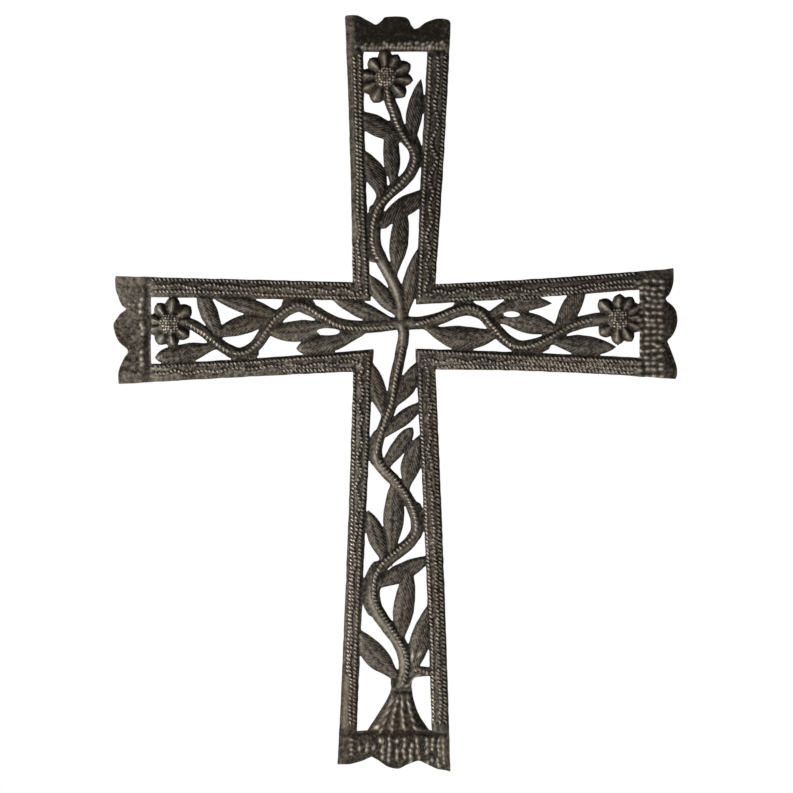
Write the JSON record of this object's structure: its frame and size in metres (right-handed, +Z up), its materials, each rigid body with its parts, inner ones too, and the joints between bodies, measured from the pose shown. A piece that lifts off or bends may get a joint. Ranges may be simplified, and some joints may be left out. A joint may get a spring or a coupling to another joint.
{
  "type": "wall cross",
  "caption": "Openwork wall cross cut from steel sheet and hammered in relief, with vine stems, leaves and flowers inside a banded frame.",
  "frame": {"origin": "point on the flat back of the top end band where the cross hangs against the wall, straight above its centre of mass", "axes": "+Z up along the upright, +Y out of the back into the wall, worked side facing -Y, +X to the viewer's right"},
  "size_m": [0.4374, 0.0054, 0.5869],
  "materials": {
    "steel": "darkened, hammered and chiselled, worn lighter on the ridges, under a thin clear coat"
  },
  "bodies": {
    "root": {"cross": "steel"}
  },
  "joints": []
}
